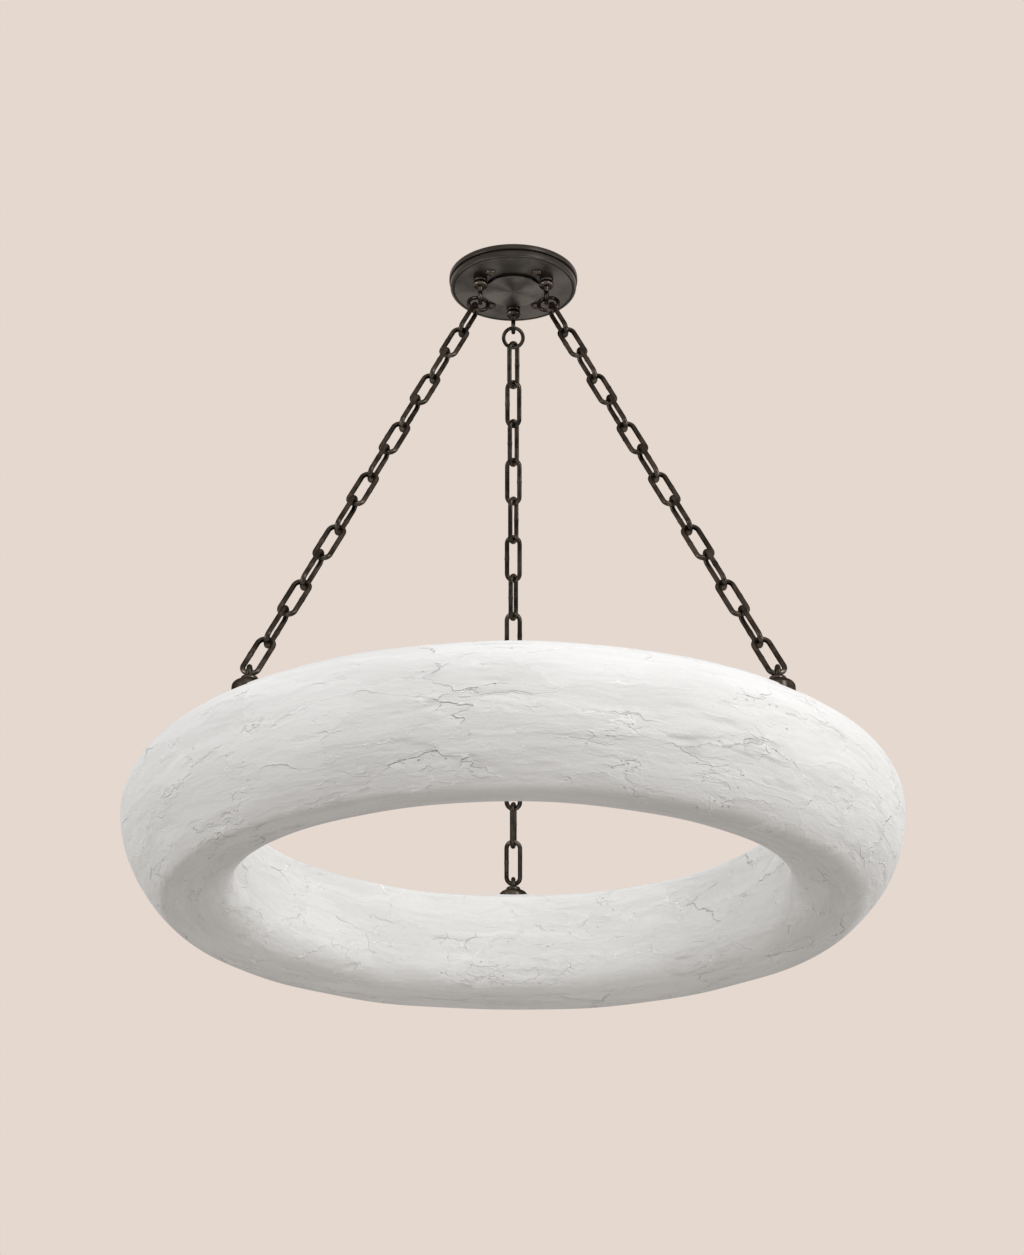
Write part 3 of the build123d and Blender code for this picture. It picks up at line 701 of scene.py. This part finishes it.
# long link: two straight runs and two half circles of round wire, thicker at the weld in the middle of one run;
# each link is a quarter turn from the last, and a twist that eases down the chain is added
def makeChain(side):
    k = chainLink
    top, line, across, facing = chainFrame(side)
    end = (k["width"] - k["wire"]) / 2
    half = (k["inner"] + k["wire"]) / 2 - end
    a = np.radians(np.linspace(90, -90, 15))
    bend = np.column_stack([half + end * np.cos(a), end * np.sin(a)])
    runs = np.array([-half * 0.9, -half * 0.4, *k["weldPoints"], half * 0.4, half * 0.9])
    upper = np.column_stack([runs, np.full(len(runs), end)])
    flat = np.concatenate([upper, bend, -upper, -bend])
    tangent = np.roll(flat, -1, 0) - np.roll(flat, 1, 0)
    tangent /= np.linalg.norm(tangent, axis=1)[:, None]
    weld = np.exp(-((flat[:, 0] / k["weldLength"]) ** 2)) * (flat[:, 1] > end * 0.9)
    rubAndHighlight = easeBetween(np.abs(flat[:, 0]), half + end * 0.55, half + end * 0.98)
    topTwist = k["farTwist"] if side == "far" else k["frontTwist"]
    shells = Shells()
    for i in range(k["count"]):
        middle = top + line * (k["first"] + i * k["pitch"] + (k["inner"] + k["wire"]) / 2)
        twist = topTwist + (k["endTwist"] - topTwist) * i / (k["count"] - 1)
        roll = math.radians((90 if i % 2 else 0) + (twist if side == "right" else -twist))
        thickWay = across * math.cos(roll) + facing * math.sin(roll)
        flatWay = np.cross(thickWay, line)
        turn = -1 if i % 4 > 1 else 1
        path = middle + flat[:, :1] * line + turn * flat[:, 1:] * flatWay
        way = tangent[:, :1] * line + turn * tangent[:, 1:] * flatWay
        radius = k["wire"] / 2 * (1 + k["weld"] * weld)
        shells.loop(path, way, thickWay, radius, k["around"], np.repeat(rubAndHighlight * k["rubAndHighlight"], k["around"]))
    shells.piece(f"chain_links_{side}", f"chain_{side}", [f"chain_{side}"], "dark_bronze", bronze, 80)


hangingRing = {"radius": 12.6, "wire": 4.8, "steps": 56, "around": 16, "rubAndHighlight": 0.8}


# round ring: a circle that starts at the chain's top point and faces the front
def makeHangingRing(side):
    h = hangingRing
    top, line, across, facing = chainFrame(side)
    a = np.linspace(0, 2 * np.pi, h["steps"], endpoint=False)[:, None]
    path = top + line * h["radius"] + h["radius"] * (np.cos(a) * line + np.sin(a) * across)
    way = np.cos(a) * across - np.sin(a) * line
    rubAndHighlight = np.repeat(easeBetween(np.abs(np.cos(a[:, 0])), 0.75, 1.0) * h["rubAndHighlight"], h["around"])
    shells = Shells().loop(path, way, facing, np.full(h["steps"], h["wire"] / 2), h["around"], rubAndHighlight)
    shells.piece(f"ring_of_{side}_chain", f"chain_{side}", [f"hanging_ring_{side}"], "dark_bronze", bronze, 80)


eyeWire = {"steps": 48, "around": 16}


# eye of round wire that faces sideways: a circle in the upright plane across X
def sideEye(shells, centre, radius, wire):
    steps = eyeWire["steps"]
    a = np.linspace(0, 2 * np.pi, steps, endpoint=False)[:, None]
    yWay, zWay, xWay = np.array([0, 1.0, 0]), np.array([0, 0, 1.0]), np.array([1.0, 0, 0])
    path = np.asarray(centre, float) + radius * (np.cos(a) * yWay + np.sin(a) * zWay)
    way = np.cos(a) * zWay - np.sin(a) * yWay
    shells.loop(path, way, xWay, np.full(steps, wire / 2), eyeWire["around"])


hangerPost = {
    "collar": 8.75, "collarHeight": 4.5, "bead": 9.5, "beadHeight": 8.5, "neck": 4.0, "tip": 2.75,
    "eyeRadius": 6.75, "eyeWire": 5.5, "eyeHeight": -44.0, "threadTop": -8.0,
}


# turned post: collar, bead and taper down to the eye, and the threaded end inside the canopy
def makePost(side):
    p = hangerPost
    x, y = hanging["post"][side]
    face = hanging["canopyFace"]
    beadTop = face - p["collarHeight"]
    beadMiddle, beadEnd = beadTop - p["beadHeight"] / 2, beadTop - p["beadHeight"]
    tipHeight = p["eyeHeight"] + p["eyeRadius"]
    swell = arc((p["neck"], beadMiddle), 1.0, 90, -90, 15)
    swell[:, 0] = p["neck"] + (swell[:, 0] - p["neck"]) * (p["bead"] - p["neck"])
    swell[:, 1] = beadMiddle + (swell[:, 1] - beadMiddle) * p["beadHeight"] / 2
    collar = [(p["neck"], face), (p["collar"], face), (p["collar"], beadTop + 0.4), (p["neck"] + 1, beadTop)]
    taper = [(p["neck"] - 0.2, beadEnd - 1.0), (p["tip"] + 0.4, (beadEnd + tipHeight) / 2), (p["tip"], tipHeight)]
    profile = np.concatenate([
        [(0, p["threadTop"]), (p["neck"], p["threadTop"]), (p["neck"], face)],
        roundedPath(collar, [0, 0.6, 1.2, 0], 4)[1:],
        swell,
        taper,
        [(0, tipHeight)],
    ])
    # the collar and bead rubbed lighter: wear, and also a painted highlight
    rubAndHighlight = easeBetween(profile[:, 0], p["collar"] - 1.5, p["bead"])
    shells = Shells().turned(profile, (x, y, 0), 40, rubAndHighlight)
    sideEye(shells, (x, y, p["eyeHeight"]), p["eyeRadius"], p["eyeWire"])
    shells.piece(f"turned_post_{side}", "canopy", [f"hanger_post_{side}"], "dark_bronze", bronze, 42)


# middle of a cap's seat on the ring
def capSeat(side):
    return (*hanging["cap"][side], hanging["ringBase"] + hanging["seatHeight"])


cup = {"radius": 19.0, "height": 16.5, "skirt": 9.0, "wall": 2.0, "top": 9.5, "bore": 4.1, "edge": 0.8, "foot": 3.0}


# domed cap: a quarter ellipse over an upright skirt, hollow underneath
def makeCup(side):
    u = cup
    a = np.radians(np.linspace(0, 90, 15))
    inner, ceiling = u["radius"] - u["wall"], u["height"] - u["wall"]
    outside, inside = (
        np.column_stack([u["top"] + (radius - u["top"]) * np.cos(a), u["skirt"] + (height - u["skirt"]) * np.sin(a)])
        for radius, height in ((u["radius"], u["height"]), (inner, ceiling))
    )
    foot = [(inner, u["foot"]), (inner, 0), (u["radius"], 0), (u["radius"], u["foot"])]
    foot = roundedPath(foot, [0, 0, u["edge"], 0], 4)
    profile = np.concatenate([outside, [(u["bore"], u["height"]), (u["bore"], ceiling)], inside[::-1], foot])
    shells = Shells().turned(profile, capSeat(side), 56)
    shells.piece(f"domed_cap_{side}", "ring", [f"cap_{side}"], "dark_bronze", bronze, 42)


capEye = {
    "radius": 8.0, "wire": 6.0, "rise": 24.8, "collar": 9.5, "collarHeight": 5.0, "collarRound": 2.2,
    "stud": 4.0, "studFoot": -66.5,
}


# eye with a rounded collar, and the stud that runs down through the cap and the bridge
def makeCapEye(side):
    e = capEye
    x, y, seat = capSeat(side)
    low, high = cup["height"], cup["height"] + e["collarHeight"]
    stud = [(0, e["studFoot"]), (e["stud"], e["studFoot"]), (e["stud"], low)]
    collar = [(e["stud"], low), (e["collar"], low), (e["collar"], high), (0, high)]
    profile = np.concatenate([
        stud[:1],
        roundedPath(stud, [0, 0.8, 0], 3)[1:],
        roundedPath(collar, [0, 0.4, e["collarRound"], 0], 6)[1:],
    ])
    shells = Shells().turned(profile, (x, y, seat), 40)
    sideEye(shells, (x, y, seat + e["rise"]), e["radius"], e["wire"])
    shells.piece(f"cap_loop_{side}", "ring", [f"cap_eye_{side}"], "dark_bronze", bronze, 42)


for side in sides:
    makeChain(side)
    makeHangingRing(side)
    makePost(side)
    makeCup(side)
    makeCapEye(side)
print("chains, posts and caps made")


canopy = {
    "radius": 82.5, "step": 1.6, "groove": 1.6, "grooveWidth": 1.8, "lip": 7.0, "wall": 2.0, "edge": 1.8,
    # the last entry below is the share of the turned tone on the pan's face; the rest is the dark rim colour, a painted
    # shade
    "bead": 2.4, "scribeWidth": 3.0, "scribeDepth": 1.0, "scribeSlope": 0.7, "panTurnedShare": 0.75,
    "plate": 37.0, "plateHeight": 4.0, "spigot": 5.0, "spigotPlay": 0.3, "spigotTop": -8.0, "faceDepth": 0.6,
}


# stepped pan: a lip at the ceiling, a groove, and a plain face below with a scribed line that leaves a bead at its
# edge; the middle plate stands on its face, with a spigot through it
def makeCanopy():
    c = canopy
    face = hanging["canopyFace"]
    step = c["radius"] - c["step"]
    groove = step - c["groove"]
    top, low = -c["lip"], -c["lip"] - c["grooveWidth"]
    outer, inner, deep = step - c["bead"], step - c["bead"] - c["scribeWidth"], face + c["scribeDepth"]
    hole, wall, ceiling = c["spigot"] + c["spigotPlay"], groove - c["wall"], face + c["wall"]
    scribe = [(inner, face), (inner + c["scribeSlope"], deep), (outer - c["scribeSlope"], deep), (outer, face)]
    side = [(step, face), (step, low), (groove, low), (groove, top), (c["radius"], top), (c["radius"], 0)]
    corners = [(hole, face), *scribe, *side, (wall, 0), (wall, ceiling), (hole, ceiling)]
    rounds = [0, 0.2, 0.2, 0.2, 0.2, c["edge"], 0.3, 0.3, 0.3, c["edge"], 0.6, 0.3, 1.5, 0]
    profile = roundedPath(corners, rounds, 6, True)
    # painted shade: only the pan's face takes the turned tone; its rim, lip, groove and scribed line take the dark rim
    # colour
    turnedShare = np.where(np.abs(profile[:, 1] - face) < c["faceDepth"], c["panTurnedShare"], 0.0)
    pan = Shells().turned(profile, (0, 0, 0), 128, turnedShare)
    pan.piece("canopy_pan", "canopy", ["canopy_dish"], "dark_bronze", turned, 42)
    low = face - c["plateHeight"]
    disc = [(0, low), (c["plate"], low), (c["plate"], face)]
    spigot = [(c["spigot"], face), (c["spigot"], c["spigotTop"]), (0, c["spigotTop"])]
    profile = roundedPath([*disc, *spigot], [0, 1.2, 0, 0, 0.6, 0], 6)
    # painted shade: the plate's face takes the turned tone, its side wall and spigot the dark rim colour
    turnedShare = np.where(profile[:, 1] < low + c["faceDepth"], 1.0, 0.0)
    plate = Shells().turned(profile, (0, 0, 0), 96, turnedShare)
    plate.piece("canopy_middle", "canopy", ["centre_plate"], "dark_bronze", turned, 42)


canopyScrew = {
    "circle": 50.0, "turn": 36.0, "head": 6.5, "height": 4.2, "roundness": 2.4, "domeShare": 0.985, "shank": 2.5,
    "slotWidth": 0.75, "slotReach": 3.4, "slotDepth": 1.5, "rings": 26, "around": 64,
}


# round screw head: height times the root of one less a power of the distance from its axis, with a cross sunk in
# its middle
def makeCanopyScrews():
    s = canopyScrew
    face = hanging["canopyFace"]
    shells = Shells()
    share = np.linspace(0, 1, s["rings"])[1:]
    a = np.linspace(0, 2 * np.pi, s["around"], endpoint=False)
    r = s["head"] * share[:, None] + 0 * a
    dome = s["height"] * np.sqrt(np.clip(1 - (share * s["domeShare"]) ** s["roundness"], 0, 1))[:, None] + 0 * a
    x, y = r * np.cos(a), r * np.sin(a)
    arms = [
        easeBetween(s["slotWidth"] - np.abs(p) + 0.25, 0, 0.5) * easeBetween(s["slotReach"] - np.abs(q), 0, 0.6)
        for p, q in ((x, y), (y, x))
    ]
    drop = dome - s["slotDepth"] * np.maximum(*arms)
    for middle in (90, 270):
        for turn in (-s["turn"], s["turn"]):
            way = math.radians(middle + turn)
            px, py = s["circle"] * math.cos(way), s["circle"] * math.sin(way)
            head = np.stack([x + px, y + py, face - drop], -1)
            rows = head
            for radius, height in ((s["head"], face), (s["shank"], face), (s["shank"], 0.0)):
                ring = np.stack([radius * np.cos(a) + px, radius * np.sin(a) + py, height + 0 * a], -1)
                rows = np.concatenate([rows, ring[None]])
            # the heads rubbed lighter: wear, and also a painted highlight
            rubAndHighlight = np.repeat(np.arange(len(rows)) < len(head), len(a)).astype(float)
            shells.grid(rows, False, True, (px, py, face - s["height"] + s["slotDepth"]), (px, py, 0.0), rubAndHighlight)
    shells.piece("canopy_screw_heads", "canopy", ["canopy_screws"], "dark_bronze", bronze, 48)


makeCanopy()
makeCanopyScrews()
print("canopy made")


lamp = {
    "count": 6, "circle": 369.0, "floor": 21.9,
    "base": 18.0, "baseHeight": 4.0, "cup": 14.0, "cupHeight": 30.0, "socket": 7.05, "socketFloor": 6.0,
    "capRadius": 6.75, "capLow": 6.3, "capHigh": 28.3, "recess": 6.3, "recessDepth": 4.0,
    "contact": 3.2, "contactFlare": 3.6, "threadPitch": 3.2, "threadDepth": 0.55, "threadLow": 3.5, "threadHigh": 2.0,
    "ball": 22.5, "neck": 6.2, "neckLength": 7.0, "flareDeg": 35.0, "glassTop": 82.3, "wall": 1.0,
}


# outline of the golf-ball glass: neck, flare, then the ball's arc up to its crown
def ballOutline(shrink):
    b = lamp
    ball, neck = b["ball"] - shrink, b["neck"] - shrink
    centre = b["glassTop"] - b["ball"]
    low = b["capHigh"] - b["recessDepth"]
    crown = arc((0, centre), ball, -b["flareDeg"], 90, 26)
    crown[-1, 0] = 0
    return np.concatenate([[(neck, low), (neck, low + b["neckLength"])], crown])


# lamps evenly round the trough: porcelain holder, brass screw cap and frosted ball, each turned on its own axis
def makeLamps():
    b = lamp
    for i in range(b["count"]):
        a = 2 * math.pi / b["count"] * i
        place = (b["circle"] * math.cos(a), b["circle"] * math.sin(a), hanging["ringBase"] + b["floor"])
        base = [(0, 0), (b["base"], 0), (b["base"], b["baseHeight"]), (b["cup"], b["baseHeight"])]
        rim = [(b["cup"], b["cupHeight"]), (b["socket"], b["cupHeight"])]
        socket = [(b["socket"], b["socketFloor"]), (0, b["socketFloor"])]
        profile = roundedPath([*base, *rim, *socket], [0, 0.8, 1.2, 1.5, 1.6, 0.8, 0.3, 0], 5)
        holder = Shells().turned(profile, place, 56)
        holder.piece(f"lampholder_cup_{i + 1}", "ring", [f"lampholder_{i + 1}"], "porcelain", porcelain, 42)

        # screw cap: rolled thread as a cosine along the height
        z = np.linspace(b["capLow"] + b["threadLow"], b["capHigh"] - b["threadHigh"], 48)
        wave = b["threadDepth"] * (0.5 - 0.5 * np.cos(2 * np.pi * (z - z[0]) / b["threadPitch"]))
        thread = np.column_stack([b["capRadius"] - wave, z])
        low, high, recess = b["capLow"], b["capHigh"], b["capHigh"] - b["recessDepth"]
        contact = [(0, low), (b["contact"], low), (b["contactFlare"], low + 1.2), (b["capRadius"] - 0.5, low + 3.0)]
        collar = [(b["capRadius"], high), (b["recess"], high), (b["recess"], recess), (0, recess)]
        cap = Shells().turned(np.concatenate([contact, thread, collar]), place, 40)
        cap.piece(f"bulb_screw_cap_{i + 1}", f"bulb_{i + 1}", [f"bulb_cap_{i + 1}"], "brass", brass, 42)

        # glass with thickness: the outer outline from crown to neck, then the inner one back up, turned as one shell
        glass = Shells().turned(np.concatenate([ballOutline(0)[::-1], ballOutline(b["wall"])]), place, 48)
        glass.piece(f"frosted_bulb_{i + 1}", f"bulb_{i + 1}", [f"bulb_glass_{i + 1}"], "frosted_glass", frosted, 42)


makeLamps()
print("lamps made")

# CAD nodes that show as they are
for node, finish in (
    ("mounting_plate", zinc), ("hanger_nuts", zinc), ("centre_plate_nut", zinc), ("lamp_tray", zinc),
    ("tray_screws", zinc), ("eye_washers", zinc), ("eye_nuts", zinc), ("earth_screw", brass),
):
    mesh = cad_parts[node].data
    mesh.materials.clear()
    mesh.materials.append(finish)

# plain pale floor, well below the camera
floor = {"height": -2.35, "reach": 9.0, "tone": (0.45, 0.43, 0.411)}
floorMesh = bpy.data.meshes.new("floor")
reach, level = floor["reach"], floor["height"]
corners = [(-reach, -reach, level), (reach, -reach, level), (reach, reach, level), (-reach, reach, level)]
floorMesh.from_pydata(corners, [], [(0, 1, 2, 3)])
floorObj = bpy.data.objects.new("floor", floorMesh)
bpy.context.scene.collection.objects.link(floorObj)
pale = Finish("pale_floor")
floorMesh.materials.append(pale.use(Base_Color=(*floor["tone"], 1), Roughness=0.9, Specular_IOR_Level=0.1))

# world: beige to the camera and in reflections, plain white light on everything else
studio = {"beige": (0.783, 0.687, 0.624), "fill": (0.985, 0.99, 1.0), "fillStrength": 0.80}
world = bpy.data.worlds.new("studio")
bpy.context.scene.world = world
world.use_nodes = True
tree = world.node_tree
tree.nodes.clear()
path = tree.nodes.new("ShaderNodeLightPath")
seen = path.outputs["Is Camera Ray"]
for ray in ("Is Glossy Ray", "Is Transmission Ray"):
    larger = tree.nodes.new("ShaderNodeMath")
    larger.operation = "MAXIMUM"
    tree.links.new(seen, larger.inputs[0])
    tree.links.new(path.outputs[ray], larger.inputs[1])
    seen = larger.outputs[0]
fill = tree.nodes.new("ShaderNodeBackground")
fill.inputs["Color"].default_value = (*studio["fill"], 1)
fill.inputs["Strength"].default_value = studio["fillStrength"]
backdrop = tree.nodes.new("ShaderNodeBackground")
backdrop.inputs["Color"].default_value = (*studio["beige"], 1)
choose = tree.nodes.new("ShaderNodeMixShader")
tree.links.new(seen, choose.inputs[0])
tree.links.new(fill.outputs[0], choose.inputs[1])
tree.links.new(backdrop.outputs[0], choose.inputs[2])
end = tree.nodes.new("ShaderNodeOutputWorld")
tree.links.new(choose.outputs[0], end.inputs["Surface"])

# soft lamps: place, the point each looks at, size and watts; bounce stands for the light that the floor throws up on
# the ring's far inner wall
lamps = {
    "key": {"place": (2.3, -2.8, 0.65), "aim": (0, 0, -0.8), "size": 1.3, "watts": 40.0},
    "left": {"place": (-3.0, -2.0, -0.3), "aim": (0, 0, -0.75), "size": 1.3, "watts": 24.0},
    "right": {"place": (3.3, -1.0, -0.3), "aim": (0, 0, -0.75), "size": 1.3, "watts": 19.0},
    "front": {"place": (-0.3, -3.6, 1.2), "aim": (0, 0, -0.75), "size": 1.6, "watts": 6.0},
    "bounce": {"place": (-0.03, -0.03, -1.02), "aim": (-0.03, 0.34, -0.77), "size": 0.3, "watts": 0.24},
}
for name, item in lamps.items():
    data = bpy.data.lights.new(name, "AREA")
    data.shape = "DISK"
    data.size, data.energy = item["size"], item["watts"]
    obj = bpy.data.objects.new(name, data)
    bpy.context.scene.collection.objects.link(obj)
    obj.location = item["place"]
    away = np.array(item["place"]) - np.array(item["aim"])
    flat = math.hypot(away[0], away[1])
    obj.rotation_euler = (math.atan2(flat, away[2]), 0, math.atan2(away[1], away[0]) + math.pi / 2)

# camera below the ring, looking up at it; the lens is for the long side of the frame
view = {"place": (-0.0017, -3.0, -1.8405), "upDeg": 24.18, "lens": 77.68}
camera = bpy.data.cameras.new("camera")
camera.sensor_width = 36.0
camera.lens = view["lens"]
cameraObj = bpy.data.objects.new("camera", camera)
bpy.context.scene.collection.objects.link(cameraObj)
cameraObj.location = view["place"]
cameraObj.rotation_euler = (math.radians(90 + view["upDeg"]), 0, 0)
bpy.context.scene.camera = cameraObj
bpy.context.scene.view_settings.view_transform = "Standard"
print("floor, light and camera set")

bpy.context.view_layer.update()
